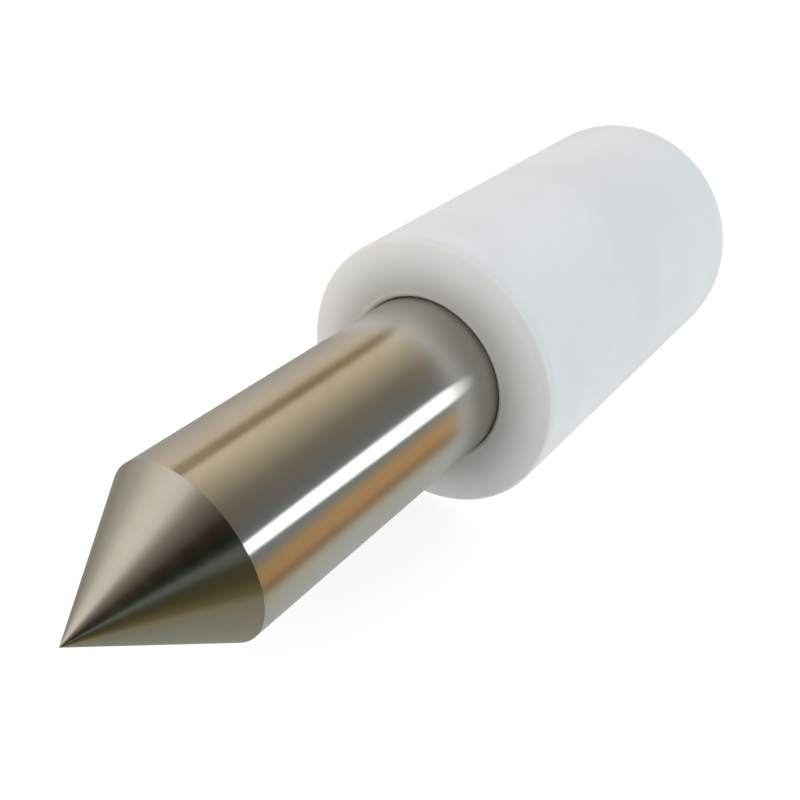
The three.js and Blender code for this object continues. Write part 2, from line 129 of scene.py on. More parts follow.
# ---------------------------------------------------------------- sizes from the frame
def outline(node):
    """A turned node's outline as ordered (x, radius) corners, and whether it is a closed loop.

    It is read off the node's upper half-plane. It runs up the low-x side, along the outside and down the
    high-x side, and an open one starts and ends on the axis.
    """
    mesh = nodes[node].data
    corners = {}
    for v in mesh.vertices:
        if abs(v.co.y) < ON_PLANE and v.co.z > -ON_PLANE:
            corners[v.index] = (round(v.co.x, 7), round(max(v.co.z, 0.0), 7))
    links = {}
    for edge in mesh.edges:
        a, b = (corners.get(i) for i in edge.vertices)
        if a and b and a != b:
            links.setdefault(a, set()).add(b)
            links.setdefault(b, set()).add(a)
    ends = [p for p, near in links.items() if len(near) == 1]
    path = [min(ends) if ends else min(links)]
    last = None
    while True:
        onwards = [p for p in links[path[-1]] if p != last]
        if not onwards:
            break
        last = path[-1]
        following = onwards[0]
        if len(path) == 1 and not ends:
            following = min(onwards, key=lambda p: (-p[1], p[0]))
        if following == path[0]:
            break
        path.append(following)
    if not ends:
        turn = sum(a[1] * b[0] - b[1] * a[0] for a, b in zip(path, path[1:] + path[:1]))
        if turn < 0:
            path = [path[0]] + path[:0:-1]
    return path, not ends


def centre(node):
    low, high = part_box(node)
    return (low + high) / 2


def extents(node):
    """The lowest and highest x of a node, and its smallest and largest radius."""
    spots = [(v.co.x, math.hypot(v.co.y, v.co.z)) for v in nodes[node].data.vertices]
    along, out = zip(*spots)
    return min(along), max(along), min(out), max(out)


def angle_of(point):
    """The angle about the axis, from +Z, turning as a right-hand screw along +X."""
    return math.atan2(-point.y, point.z)


def ball_radius(node):
    middle = centre(node)
    return max((v.co - middle).length for v in nodes[node].data.vertices)


# ---------------------------------------------------------------- outlines
def arc(hub, radius, start, end, count):
    """Points on the shorter arc between two points, given by their places from the hub."""
    a0 = math.atan2(start[1] - hub[1], start[0] - hub[0])
    a1 = math.atan2(end[1] - hub[1], end[0] - hub[0])
    if abs(a1 - a0) > math.pi:
        a1 += TURN if a1 < a0 else -TURN
    angles = np.linspace(a0, a1, count)
    return [(hub[0] + radius * math.cos(t), hub[1] + radius * math.sin(t)) for t in angles]


def true_groove(path, ball):
    """Replaces the straight chords of a raceway by its true arc about the ball's centre."""
    hub = (ball.x, math.hypot(ball.y, ball.z))
    reach = [math.hypot(x - hub[0], r - hub[1]) for x, r in path]
    size = min(reach)
    touching = [i for i, distance in enumerate(reach) if distance < size * 1.004]
    first, last = touching[0], touching[-1]
    return path[:first] + arc(hub, size, path[first], path[last], GROOVE_POINTS) + path[last + 1:]


def eased(path, edge, loop):
    """Rounds each corner that isn't nearly straight. The edge is a radius, or gives one for an x."""
    out = []
    count = len(path)
    for i, place_of_corner in enumerate(path):
        corner = Vector(place_of_corner)
        before = Vector(path[i - 1]) - corner
        after = Vector(path[(i + 1) % count]) - corner
        at_end = not loop and i in (0, count - 1)
        if at_end or min(before.length, after.length) < 1e-9:
            out.append(tuple(place_of_corner))
            continue
        bend = math.pi - before.angle(after)
        if bend < LEAST_BEND:
            out.append(tuple(corner))
            continue
        wanted = edge(corner.x) if callable(edge) else edge
        slope = math.tan(bend / 2)
        reach = min(wanted * slope, LARGEST_SHARE * before.length, LARGEST_SHARE * after.length)
        size = reach / slope
        inwards = (before.normalized() + after.normalized()).normalized()
        hub = corner + inwards * (size / math.cos(bend / 2))
        start = corner + before.normalized() * reach
        end = corner + after.normalized() * reach
        out += arc(hub, size, start, end, EDGE_STEPS + 1)
    return out


def coarse(a, b):
    return COARSE_STEP


def divided(path, loop, step):
    """Splits each span by step(a, b). Shading needs one more point close to each end on the axis."""
    out = []
    for a, b in zip(path, path[1:] + (path[:1] if loop else [])):
        a, b = Vector(a), Vector(b)
        count = max(1, math.ceil((b - a).length / step(a, b)))
        shares = [i / count for i in range(count)]
        for end, share_of_span in ((a, 0.004), (b, 0.996)):
            if end.y < ON_AXIS and (b - a).length > 0.5 * MM:
                shares.append(share_of_span)
        out += [tuple(a.lerp(b, s)) for s in sorted(shares)]
    if not loop:
        out.append(path[-1])
    return out


def turned_outline(node, edge, groove=None, step=coarse):
    """A node's outline with true raceways, eased corners and evenly divided spans."""
    path, loop = outline(node)
    if groove:
        path = true_groove(path, centre(groove))
    return divided(eased(path, edge, loop), loop, step), loop


# ---------------------------------------------------------------- mesh making
def turned_mesh(name, path, loop, flats, bend=None):
    """Revolves an outline about X. bend(x, radius, angle) gives a point its own x and radius."""
    verts, faces, rows = [], [], []
    for x, r in path:
        if r < ON_AXIS:
            rows.append([len(verts)] * flats)
            verts.append((x, 0, 0))
            continue
        rows.append(list(range(len(verts), len(verts) + flats)))
        for k in range(flats):
            angle = TURN * k / flats
            along, out = bend(x, r, angle) if bend else (x, r)
            verts.append((along, -out * math.sin(angle), out * math.cos(angle)))
    pairs = list(zip(rows, rows[1:] + rows[:1])) if loop else list(zip(rows, rows[1:]))
    for low, high in pairs:
        for k in range(flats):
            n = (k + 1) % flats
            corners = [low[k], low[n], high[n], high[k]]
            corners = [c for i, c in enumerate(corners) if c not in corners[:i]]
            if len(corners) > 2:
                faces.append(corners)
    mesh = bpy.data.meshes.new(name)
    mesh.from_pydata(verts, [], faces)
    mesh.validate()
    return mesh


def prism_mesh(section, low, high, angle):
    """Extrudes an (x, side) section outwards between two radii, and turns it to its angle about the axis."""
    count = len(section)
    verts = [(x, side, height) for height in (low, high) for x, side in section]
    faces = [list(range(count))[::-1], list(range(count, 2 * count))]
    faces += [(i, (i + 1) % count, count + (i + 1) % count, count + i) for i in range(count)]
    mesh = bpy.data.meshes.new("prism")
    mesh.from_pydata(verts, [], faces)
    mesh.transform(Matrix.Rotation(angle, 4, "X"))
    return mesh


def plate_mesh(outlines, thickness, edge):
    """A flat plate with holes in the YZ plane, centred on x = 0, with its edges rounded."""
    curve = bpy.data.curves.new("plate", "CURVE")
    curve.dimensions = "2D"
    curve.fill_mode = "BOTH"
    for points in outlines:
        spline = curve.splines.new("POLY")
        spline.points.add(len(points) - 1)
        for spot, (y, z) in zip(spline.points, points):
            spot.co = (y / MM, z / MM, 0, 1)
        spline.use_cyclic_u = True
    curve.extrude = (thickness / 2 - edge) / MM
    curve.bevel_depth = edge / MM
    curve.bevel_resolution = 2
    curve.offset = -edge / MM
    obj = bpy.data.objects.new("plate", curve)
    scene.collection.objects.link(obj)
    graph = bpy.context.evaluated_depsgraph_get()
    mesh = bpy.data.meshes.new_from_object(obj.evaluated_get(graph))
    bpy.data.objects.remove(obj)
    bm = bmesh.new()
    bm.from_mesh(mesh)
    bmesh.ops.remove_doubles(bm, verts=bm.verts, dist=0.002)
    bmesh.ops.recalc_face_normals(bm, faces=bm.faces)
    bm.to_mesh(mesh)
    bm.free()
    mesh.transform(Matrix(((0, 0, MM, 0), (MM, 0, 0, 0), (0, MM, 0, 0), (0, 0, 0, 1))))
    return mesh


def sphere_mesh(name, radius, cuts, at=(0, 0, 0)):
    """A ball without poles: a subdivided cube pushed out to the radius."""
    bm = bmesh.new()
    bmesh.ops.create_cube(bm, size=2)
    bmesh.ops.subdivide_edges(bm, edges=bm.edges[:], cuts=cuts, use_grid_fill=True)
    for v in bm.verts:
        spread = Vector([math.tan(c * math.pi / 4) for c in v.co])
        v.co = spread.normalized() * radius + Vector(at)
    mesh = bpy.data.meshes.new(name)
    bm.to_mesh(mesh)
    bm.free()
    return mesh


def modified(mesh, add_modifiers):
    """The mesh with the modifiers applied that add_modifiers gives an object."""
    obj = bpy.data.objects.new("work", mesh)
    scene.collection.objects.link(obj)
    add_modifiers(obj)
    graph = bpy.context.evaluated_depsgraph_get()
    result = bpy.data.meshes.new_from_object(obj.evaluated_get(graph))
    bpy.data.objects.remove(obj)
    return result


def cut_mesh(mesh, cutters):
    """Cuts closed meshes, which don't touch each other, out of a mesh."""
    joined = bmesh.new()
    for cutter in cutters:
        joined.from_mesh(cutter)
    tool_mesh = bpy.data.meshes.new("cutters")
    joined.to_mesh(tool_mesh)
    joined.free()
    tool = bpy.data.objects.new("cutters", tool_mesh)
    scene.collection.objects.link(tool)

    def cut(obj):
        boolean = obj.modifiers.new("cut", "BOOLEAN")
        boolean.operation = "DIFFERENCE"
        boolean.solver = "EXACT"
        boolean.object = tool

    result = modified(mesh, cut)
    bpy.data.objects.remove(tool)
    return result


def moulded(mesh, voxel):
    """Remeshes evenly and softens every edge, as on a moulded or pressed part.

    It works in millimetres, because the remesher dislikes tiny sizes. The voxel size is in millimetres too.
    """
    mesh.transform(Matrix.Scale(1 / MM, 4))

    def soften(obj):
        even = obj.modifiers.new("even", "REMESH")
        even.mode = "VOXEL"
        even.voxel_size = voxel
        smooth = obj.modifiers.new("smooth", "SMOOTH")
        smooth.factor = 0.5
        smooth.iterations = 5

    result = modified(mesh, soften)
    result.transform(Matrix.Scale(MM, 4))
    return result


# ---------------------------------------------------------------- placing
def finish_mesh(mesh, sharp=SHARP_ANGLE):
    mesh.polygons.foreach_set("use_smooth", [True] * len(mesh.polygons))
    mesh.set_sharp_from_angle(angle=math.radians(sharp))
    mesh.update()


def stand_for(obj, node):
    """Rides the piece on its node's body and lets it stand for the node."""
    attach(obj, body_of_node[node])
    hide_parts(node)


def place(name, mesh, node, sharp=SHARP_ANGLE, weighted=True):
    """Makes the piece that stands for a node, with the node's material."""
    finish_mesh(mesh, sharp)
    obj = bpy.data.objects.new(name, mesh)
    scene.collection.objects.link(obj)
    if not mesh.materials:
        mesh.materials.append(MATERIALS[slot_of_node[node]])
    if weighted:
        shade = obj.modifiers.new("even_shading", "WEIGHTED_NORMAL")
        shade.keep_sharp = True
        shade.weight = 100
    stand_for(obj, node)
    return obj


# ---------------------------------------------------------------- node trees
class Tree:
    """A short way to write a node tree. A value is a number, a colour or another node's output."""

    def __init__(self, tree):
        self.tree = tree

    def add(self, kind, **settings):
        node = self.tree.nodes.new(kind)
        for key, value in settings.items():
            setattr(node, key, value)
        return node

    def link(self, output, socket):
        self.tree.links.new(output, socket)

    def put(self, socket, value):
        if isinstance(value, bpy.types.NodeSocket):
            self.link(value, socket)
        else:
            socket.default_value = value

    def vector(self, operation, a, b):
        node = self.add("ShaderNodeVectorMath", operation=operation)
        self.put(node.inputs[0], a)
        self.put(node.inputs[1], b)
        return node.outputs[0]

    def math(self, operation, a, b=0.0):
        node = self.add("ShaderNodeMath", operation=operation)
        self.put(node.inputs[0], a)
        self.put(node.inputs[1], b)
        return node.outputs[0]

    def ramp(self, value, low, high, out_low=0.0, out_high=1.0, smooth=True):
        node = self.add("ShaderNodeMapRange", interpolation_type="SMOOTHSTEP" if smooth else "LINEAR")
        for socket, setting in zip(node.inputs, (value, low, high, out_low, out_high)):
            self.put(socket, setting)
        return node.outputs[0]

    def mix(self, factor, a, b, blend="MIX"):
        node = self.add("ShaderNodeMix", data_type="RGBA", blend_type=blend)
        self.put(node.inputs[0], factor)
        self.put(node.inputs[6], (*a, 1) if isinstance(a, tuple) else a)
        self.put(node.inputs[7], (*b, 1) if isinstance(b, tuple) else b)
        return node.outputs[2]

    def tinted(self, color, tint):
        return self.mix(1.0, color, tint, "MULTIPLY")


class Material(Tree):
    """A Principled material whose patterns are measured in millimetres from the spindle's axis."""

    def __init__(self, name, color, roughness, metallic=0.0, **direct):
        self.material = bpy.data.materials.new(name)
        self.material.use_nodes = True
        super().__init__(self.material.node_tree)
        self.bsdf = self.tree.nodes["Principled BSDF"]
        self.bsdf.inputs["Base Color"].default_value = (*color, 1)
        self.bsdf.inputs["Roughness"].default_value = roughness
        self.bsdf.inputs["Metallic"].default_value = metallic
        for key, value in direct.items():
            self.bsdf.inputs[key.replace("_", " ")].default_value = value
        coord = self.add("ShaderNodeTexCoord")
        self.point = self.vector("MULTIPLY", coord.outputs["Object"], (1000, 1000, 1000))
        split = self.add("ShaderNodeSeparateXYZ")
        self.link(self.point, split.inputs[0])
        self.x, self.y, self.z = split.outputs
        across = self.math("MULTIPLY", self.y, self.y)
        upright = self.math("MULTIPLY", self.z, self.z)
        self.radius = self.math("SQRT", self.math("ADD", across, upright))

    def polar(self):
        """Angle about the axis in radians, radius and x in mm, as one vector."""
        node = self.add("ShaderNodeCombineXYZ")
        self.link(self.math("ARCTAN2", self.y, self.z), node.inputs[0])
        self.link(self.radius, node.inputs[1])
        self.link(self.x, node.inputs[2])
        return node.outputs[0]

    def noise(self, scale, detail=3.0, roughness=0.55, vector=None, stretch=None, distortion=0.0):
        vector = vector or self.point
        if stretch:
            vector = self.vector("MULTIPLY", vector, stretch)
        node = self.add("ShaderNodeTexNoise")
        self.link(vector, node.inputs["Vector"])
        node.inputs["Scale"].default_value = scale
        node.inputs["Detail"].default_value = detail
        node.inputs["Roughness"].default_value = roughness
        node.inputs["Distortion"].default_value = distortion
        return node.outputs["Fac"]

    def rings(self, per_mm, detail, wander):
        """Fine lines round the axis: side by side on cylinders and cones, and concentric on end faces."""
        along = self.math("ADD", self.x, self.math("MULTIPLY", self.radius, 1.37))
        along = self.math("ADD", along, self.math("MULTIPLY", self.noise(0.35), wander))
        node = self.add("ShaderNodeTexNoise", noise_dimensions="1D")
        self.link(along, node.inputs["W"])
        node.inputs["Scale"].default_value = per_mm
        node.inputs["Detail"].default_value = detail
        return node.outputs["Fac"]

    def color(self, value):
        self.link(value, self.bsdf.inputs["Base Color"])

    def roughness(self, value):
        self.link(value, self.bsdf.inputs["Roughness"])

    def translucent(self, weight, radius):
        """Light spreads under the surface, by a radius for each of red, green and blue, in metres."""
        self.bsdf.inputs["Subsurface Weight"].default_value = weight
        self.bsdf.inputs["Subsurface Radius"].default_value = radius
        self.bsdf.inputs["Subsurface Scale"].default_value = 1.0

    def bump(self, *layers):
        """Each layer is (height, strength, depth in mm)."""
        last = None
        for height, strength, depth in layers:
            node = self.add("ShaderNodeBump")
            node.inputs["Strength"].default_value = strength
            node.inputs["Distance"].default_value = depth * MM
            self.link(height, node.inputs["Height"])
            if last:
                self.link(last, node.inputs["Normal"])
            last = node.outputs[0]
        self.link(last, self.bsdf.inputs["Normal"])

    def brushed_round(self, amount):
        """Highlights spread across the lines that run round the axis."""
        tangent = self.add("ShaderNodeTangent", direction_type="RADIAL", axis="X")
        self.link(tangent.outputs[0], self.bsdf.inputs["Tangent"])
        self.bsdf.inputs["Anisotropic"].default_value = amount
        self.bsdf.inputs["Anisotropic Rotation"].default_value = 0.25


# ---------------------------------------------------------------- materials
def spindle_steel():
    """Hardened steel ground between centres: fine lines round the axis, more worn near the body, and painted
    darker there as painted shade.
    """
    m = Material("spindle_steel", (0.69, 0.675, 0.645), 0.12, 1.0)
    cloud = m.noise(0.09, 4)
    fine = m.rings(9.0, 3, 0.05)
    marks = m.rings(2.2, 2, 0.1)
    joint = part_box("housing")[1].x / MM
    tone = m.mix(m.ramp(cloud, 0.35, 0.65), (0.675, 0.66, 0.63), (0.70, 0.687, 0.66))
    tone = m.mix(m.ramp(fine, 0.35, 0.7, 0.0, 0.12), tone, (0.60, 0.585, 0.555))
    # Painted shade: the steel is painted darker close to the housing's face.
    painted_joint_shade = m.ramp(m.x, joint + 9.0, joint + 2.0)
    m.color(m.mix(painted_joint_shade, tone, m.tinted(tone, (0.80, 0.81, 0.79))))
    ground = m.math("ADD", m.ramp(fine, 0.3, 0.7, 0.11, 0.15), m.ramp(cloud, 0.3, 0.7, 0.0, 0.015))
    worn = m.ramp(m.x, joint + 8.0, joint + 3.0, 0.0, 0.12)
    m.roughness(m.math("ADD", ground, worn))
    m.brushed_round(1.0)
    m.bump((cloud, 1.0, 0.004), (marks, 0.35, 0.002), (fine, 1.0, 0.007))
    return m.material


def housing_plastic():
    """White turned plastic that lets light in. Its face has painted shade towards the spindle and on one
    side, and its side has painted shade near the front edge.
    """
    m = Material("housing_plastic", (0.72, 0.715, 0.70), 0.6, Specular_IOR_Level=0.25)
    m.translucent(0.6, (0.0018, 0.0016, 0.0014))
    cloud = m.noise(0.05, 3)
    speck = m.noise(1.6, 2)
    feed = m.rings(5.0, 2, 0.1)
    body = m.mix(m.ramp(cloud, 0.35, 0.65), (0.70, 0.695, 0.68), (0.73, 0.725, 0.71))
    body = m.mix(m.ramp(speck, 0.55, 0.75, 0.0, 0.25), body, (0.66, 0.655, 0.64))

    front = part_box("housing")[1].x / MM
    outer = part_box("housing")[1].z / MM
    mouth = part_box("spindle")[1].z / MM
    # Painted shade: the face is painted darker towards the spindle.
    shade = m.mix(m.ramp(m.radius, mouth - 0.5, outer - 0.5), (0.60, 0.59, 0.55), (0.94, 0.935, 0.925))
    # Right at the mouth the painted shade is lighter.
    shade = m.mix(m.ramp(m.radius, mouth + 1.3, mouth + 0.3), shade, (0.84, 0.83, 0.80))
    # Painted shade on one side: the face is painted lighter on one side and darker on the other, following
    # how the light falls.
    across = m.math("ADD", m.math("MULTIPLY", m.y, -0.574), m.math("MULTIPLY", m.z, 0.819))
    lit = m.ramp(m.math("DIVIDE", across, m.radius), -1, 1, smooth=False)
    shade = m.mix(lit, m.tinted(shade, (0.83, 0.83, 0.82)), m.tinted(shade, (1.01, 1.01, 1.0)))
    on_face = m.ramp(m.x, front - 0.6, front - 0.1)
    body = m.mix(on_face, body, m.tinted(body, shade))
    # Painted shade: the side is painted darker towards its front edge, to damp its highlight.
    near_front = m.ramp(m.x, front - 2.4, front - 0.2)
    rim = m.math("MULTIPLY", near_front, m.ramp(m.radius, outer - 1.1, outer - 0.4))
    m.color(m.mix(rim, body, m.tinted(body, (0.895, 0.89, 0.885))))

    m.roughness(m.math("ADD", m.ramp(feed, 0.3, 0.7, 0.56, 0.66), m.ramp(cloud, 0.3, 0.7, -0.02, 0.03)))
    m.bump((feed, 0.25, 0.006), (speck, 0.1, 0.01))
    return m.material


def turned_steel(name, color, rough, lines, depth):
    """Steel with the tool's lines round it: so many of them to a millimetre, and so many millimetres deep."""
    m = Material(name, color, rough, 1.0)
    cloud = m.noise(0.15, 4)
    fine = m.rings(lines, 3, 0.05)
    darker = tuple(c * 0.93 for c in color)
    m.color(m.mix(m.ramp(cloud, 0.35, 0.65), darker, color))
    cut = m.ramp(fine, 0.3, 0.7, rough * 0.85, rough * 1.15)
    m.roughness(m.math("ADD", cut, m.ramp(cloud, 0.3, 0.7, 0, 0.03)))
    m.brushed_round(0.7)
    m.bump((cloud, 0.3, 0.02), (fine, 0.5, depth))
    return m.material


def ball_steel():
    """Lapped chrome steel: a near mirror with faint haze and hairline scuffs that run every way."""
    m = Material("ball_steel", (0.62, 0.63, 0.64), 0.05, 1.0)
    cloud = m.noise(0.5, 3)
    scuff = m.noise(1.2, 6, 0.75, stretch=(1, 5, 1), distortion=0.6)
    cross = m.noise(1.2, 6, 0.75, stretch=(5, 1, 1), distortion=0.6)
    m.color(m.mix(m.ramp(cloud, 0.3, 0.7), (0.595, 0.605, 0.615), (0.63, 0.64, 0.65)))
    m.roughness(m.math("MAXIMUM", m.ramp(scuff, 0.6, 0.75, 0.04, 0.11), m.ramp(cross, 0.6, 0.75, 0.04, 0.11)))
    m.bump((scuff, 0.5, 0.0006), (cross, 0.5, 0.0006))
    return m.material


def shield_steel():
    """Bright pressed strip: the mill's straight rolling grain, with a polished sweep from the press tool."""
    m = Material("shield_steel", (0.42, 0.43, 0.44), 0.32, 1.0)
    grain = m.noise(3.0, 5, 0.65, stretch=(1, 0.04, 1))
    sweep = m.rings(1.4, 2, 0.2)
    stain = m.noise(0.12, 4)
    tone = m.mix(m.ramp(stain, 0.35, 0.7), (0.44, 0.45, 0.46), (0.37, 0.375, 0.375))
    m.color(m.mix(m.ramp(grain, 0.5, 0.75, 0.0, 0.35), tone, (0.31, 0.315, 0.32)))
    m.roughness(m.math("ADD", m.ramp(grain, 0.3, 0.7, 0.24, 0.36), m.ramp(sweep, 0.3, 0.7, -0.04, 0.04)))
    m.bump((grain, 0.5, 0.002), (sweep, 0.4, 0.004))
    return m.material


def cage_polymer():
    """Glass-filled nylon: cream, with short fibres lying just under a matt skin."""
    m = Material("cage_polymer", (0.55, 0.49, 0.34), 0.5, Specular_IOR_Level=0.45)
    m.translucent(0.15, (0.0006, 0.0005, 0.0003))
    cloud = m.noise(0.25, 3)
    along, over, round_it = (m.noise(1.0, 2, stretch=s) for s in ((1.2, 9, 9), (9, 9, 1.2), (9, 1.2, 9)))
    fibres = m.math("MAXIMUM", m.math("MAXIMUM", along, over), round_it)
    skin = m.noise(7.0, 3, 0.6)
    tone = m.mix(m.ramp(cloud, 0.35, 0.65), (0.57, 0.51, 0.36), (0.52, 0.455, 0.30))
    m.color(m.mix(m.ramp(fibres, 0.62, 0.74, 0.0, 0.55), tone, (0.68, 0.64, 0.52)))
    m.roughness(m.math("ADD", m.ramp(skin, 0.3, 0.7, 0.44, 0.56), m.ramp(fibres, 0.62, 0.74, 0.0, -0.1)))
    m.bump((skin, 0.4, 0.006), (fibres, 0.3, 0.006))
    return m.material


def cage_steel():
    """Blanked and tumbled sheet steel: grey, dull, with small dings and a bright rub on its outer rim."""
    m = Material("cage_steel", (0.40, 0.39, 0.37), 0.36, 1.0)
    cloud = m.noise(0.35, 4)
    dings = m.noise(2.6, 4, 0.7)
    outer = extents("thrust_bearing_cage")[3] / MM
    rim = m.ramp(m.radius, outer - 0.45, outer - 0.1)
    tone = m.mix(m.ramp(cloud, 0.3, 0.7), (0.36, 0.35, 0.33), (0.43, 0.42, 0.40))
    m.color(m.mix(rim, tone, (0.52, 0.51, 0.49)))
    m.roughness(m.math("SUBTRACT", m.ramp(dings, 0.3, 0.7, 0.32, 0.48), m.math("MULTIPLY", rim, 0.14)))
    m.bump((dings, 0.6, 0.008), (m.noise(9.0, 2), 0.25, 0.003))
    return m.material


def spring_steel():
    """Hardened strip drawn to a brown and blue temper, with rolling lines round the ring."""
    m = Material("spring_steel", (0.25, 0.24, 0.23), 0.3, 1.0)
    temper = m.noise(0.11, 3, distortion=0.4)
    lines = m.noise(1.0, 4, 0.6, vector=m.vector("MULTIPLY", m.polar(), (0.6, 14.0, 0.0)))
    blue = m.mix(m.ramp(temper, 0.35, 0.55), (0.15, 0.17, 0.23), (0.28, 0.22, 0.20))
    m.color(m.mix(m.ramp(temper, 0.55, 0.75), blue, (0.38, 0.31, 0.21)))
    m.roughness(m.ramp(lines, 0.3, 0.7, 0.24, 0.38))
    m.bump((lines, 0.6, 0.003), (m.noise(5.0, 3), 0.2, 0.003))
    return m.material


def circlip_steel():
    """Phosphated spring steel: near black and oily, with a fine crystalline skin worn grey near its bore."""
    m = Material("circlip_steel", (0.06, 0.056, 0.052), 0.44, 1.0)
    crystals = m.add("ShaderNodeTexVoronoi")
    m.link(m.point, crystals.inputs["Vector"])
    crystals.inputs["Scale"].default_value = 11.0
    cell = crystals.outputs["Distance"]
    oil = m.noise(0.4, 3)
    inner = extents("shaft_circlip")[2] / MM
    worn = m.math("MULTIPLY", m.ramp(m.radius, inner + 0.35, inner), m.ramp(m.noise(1.1, 3), 0.4, 0.6))
    tone = m.mix(m.ramp(cell, 0.1, 0.6), (0.09, 0.085, 0.078), (0.05, 0.047, 0.044))
    m.color(m.mix(worn, tone, (0.26, 0.255, 0.245)))
    m.roughness(m.math("ADD", m.ramp(cell, 0.1, 0.6, 0.4, 0.55), m.ramp(oil, 0.35, 0.65, -0.12, 0.04)))
    m.bump((cell, 0.5, 0.006), (m.noise(3.0, 3), 0.3, 0.006))
    return m.material


def seal_rubber():
    """Nitrile rubber: soft black with a moulded grain, a little bloom and faint flow rings."""
    m = Material("seal_rubber", (0.012, 0.012, 0.013), 0.6, Specular_IOR_Level=0.4, Sheen_Weight=0.15)
    bloom = m.noise(0.3, 4)
    grain = m.noise(8.0, 3, 0.6)
    flow = m.rings(3.0, 2, 0.15)
    m.color(m.mix(m.ramp(bloom, 0.5, 0.75, 0.0, 0.6), (0.012, 0.012, 0.013), (0.035, 0.034, 0.034)))
    m.roughness(m.math("ADD", m.ramp(grain, 0.3, 0.7, 0.5, 0.66), m.ramp(bloom, 0.4, 0.7, 0.0, 0.1)))
    m.bump((grain, 0.5, 0.008), (flow, 0.3, 0.01))
    return m.material


MATERIALS = {
    "spindle_steel": spindle_steel(),
    "housing_plastic": housing_plastic(),
    "ring_steel": turned_steel("ring_steel", (0.56, 0.57, 0.58), 0.16, 7.0, 0.004),
    "plug_steel": turned_steel("plug_steel", (0.46, 0.465, 0.47), 0.24, 3.2, 0.012),
    "ball_steel": ball_steel(),
    "shield_steel": shield_steel(),
    "cage_polymer": cage_polymer(),
    "cage_steel": cage_steel(),
    "spring_steel": spring_steel(),
    "circlip_steel": circlip_steel(),
    "seal_rubber": seal_rubber(),
}


# ---------------------------------------------------------------- pieces
def turned_piece(node, edge, flats, groove=None):
    path, loop = turned_outline(node, edge, groove)
    return place(node + "_turned", turned_mesh(node, path, loop, flats), node)


def housing_and_spindle():
    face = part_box("housing")[1].x
    shoulder = min(x for x, r in outline("spindle")[0] if x > face)

    def housing_edge(x):
        return HOUSING_FRONT_EDGE if x > face - 1 * MM else HOUSING_EDGE

    def spindle_edge(x):
        return CONE_SHOULDER_EDGE if abs(x - shoulder) < 1e-5 else TURNED_EDGE

    turned_piece("housing", housing_edge, flats=256)
    turned_piece("spindle", spindle_edge, flats=256)
    turned_piece("front_seal", TURNED_EDGE, flats=160)
    turned_piece("spacer_sleeve", TURNED_EDGE, flats=128)


def thread_form(turns):
    """The share of full depth across one pitch: a flat root, a 60 degree flank, a flat crest and a flank."""
    half_root = 1 / 16
    flank = 5 / 16
    from_root = abs(turns % 1.0 - 0.5)
    return min(1.0, max(0.0, (half_root + flank - from_root) / flank))


def share(value, start, end):
    """How far a value is from start to end, kept between 0 and 1."""
    return min(1.0, max(0.0, (value - start) / (end - start)))


def rear_plug():
    """The plug with its tapped hole, and the two holes for a pin spanner with their edges broken."""
    corners = outline("rear_plug")[0]
    drill = min(r for x, r in corners if r > MM)

    def on_drill(r):
        return abs(r - drill) < SAME_PLACE

    bore = [x for x, r in corners if on_drill(r)]
    mouth, deep = min(bore), max(bore)
    thin_out, full_in = (deep - away for away in THREAD_RUN_OUT)

    def tapped(x, r, angle):
        if not on_drill(r):
            return x, r
        full = share(x, mouth, mouth + THREAD_LEAD_IN) * share(x, thin_out, full_in)
        return x, r + THREAD_DEPTH * full * thread_form(x / THREAD_PITCH - angle / TURN)

    def step(a, b):
        return THREAD_STEP if on_drill(a.y) and on_drill(b.y) else COARSE_STEP

    path, loop = turned_outline("rear_plug", TURNED_EDGE, step=step)
    body = turned_mesh("rear_plug", path, loop, 192, tapped)
    floors = [v.co for v in nodes["rear_plug"].data.vertices
              if mouth < v.co.x < deep - 0.1 * MM and math.hypot(v.co.y, v.co.z) > 1.5 * drill]
    cutters = []
    for side in (-1, 1):
        floor = [p for p in floors if p.y * side > 0]
        middle = sum(floor, Vector()) / len(floor)
        size = max((p - middle).length for p in floor)
        edge = SPANNER_HOLE_EDGE
        broken_edge = [(-OVERSHOOT, 0), (-OVERSHOOT, size + edge + OVERSHOOT), (edge, size)]
        rod = broken_edge + [(middle.x, size), (middle.x, 0)]
        cutter = turned_mesh("spanner_hole", rod, False, 64)
        cutter.transform(Matrix.Translation((0, middle.y, middle.z)))
        cutters.append(cutter)
    place("rear_plug_tapped", cut_mesh(body, cutters), "rear_plug")


def pressed_shield(node, inwards):
    """The sheet has a shallow channel pressed round it, which shows as a step on both of its faces."""
    path, loop = outline(node)
    inner, outer = extents(node)[2:]
    steps = [(inner + (outer - inner) * part, depth * SHIELD_PRESSING) for part, depth in SHIELD_CHANNEL]
    pressed = []
    for a, b in zip(path, path[1:] + path[:1]):
        pressed.append(a)
        if abs(a[0] - b[0]) < SAME_PLACE and abs(a[1] - b[1]) > 2 * MM:
            order = steps if b[1] > a[1] else steps[::-1]
            pressed += [(a[0] + inwards * depth, r) for r, depth in order]
    path = eased(pressed, SHIELD_EDGE, loop)
    place(node + "_pressed", turned_mesh(node, path, loop, 160), node)


